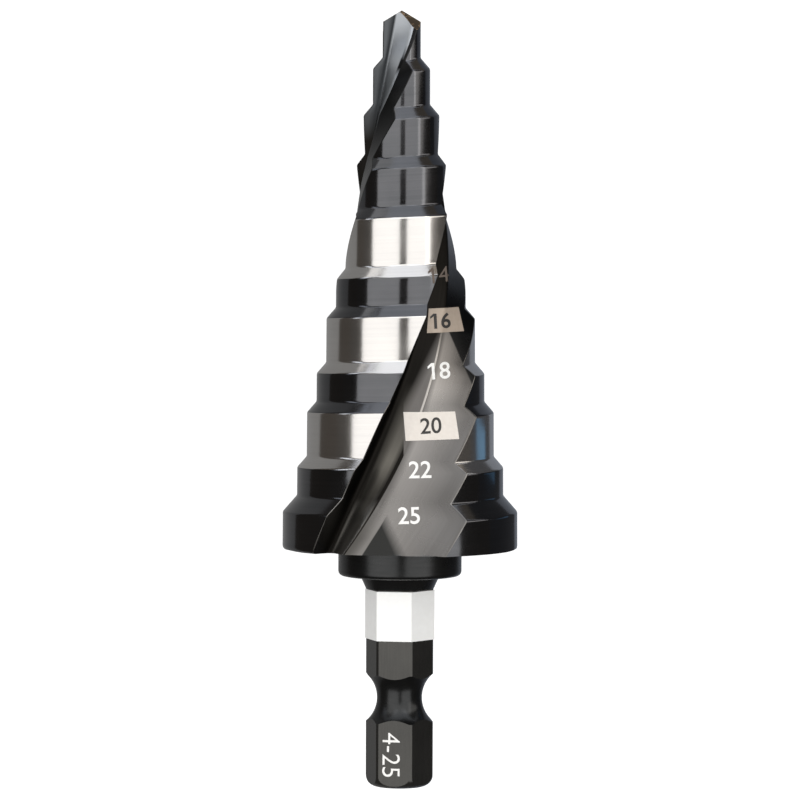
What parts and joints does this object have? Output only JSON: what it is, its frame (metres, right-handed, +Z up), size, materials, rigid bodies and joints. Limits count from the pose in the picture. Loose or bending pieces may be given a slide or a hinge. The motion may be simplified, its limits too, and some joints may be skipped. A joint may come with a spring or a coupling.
{
  "type": "step drill bit",
  "caption": "Cone drill bit: a stepped cone with spiral flutes and a drill point, on a hex shank with a detent groove and a thin white band.",
  "frame": {"origin": "on the bench, under the middle of the bounding box, with the drill lying at rest on the corners of its lower flute", "axes": "+Y towards the drill point, along the drill's length; +Z up; +X to the right when the point is away from the viewer"},
  "size_m": [0.025, 0.0812, 0.0233],
  "materials": {
    "tool_steel": "ground high speed steel with a glossy black finish; every second step is left bright",
    "white_band": "smooth white film"
  },
  "bodies": {
    "root": {"drill_body": "tool_steel", "label_band": "white_band"}
  },
  "joints": []
}
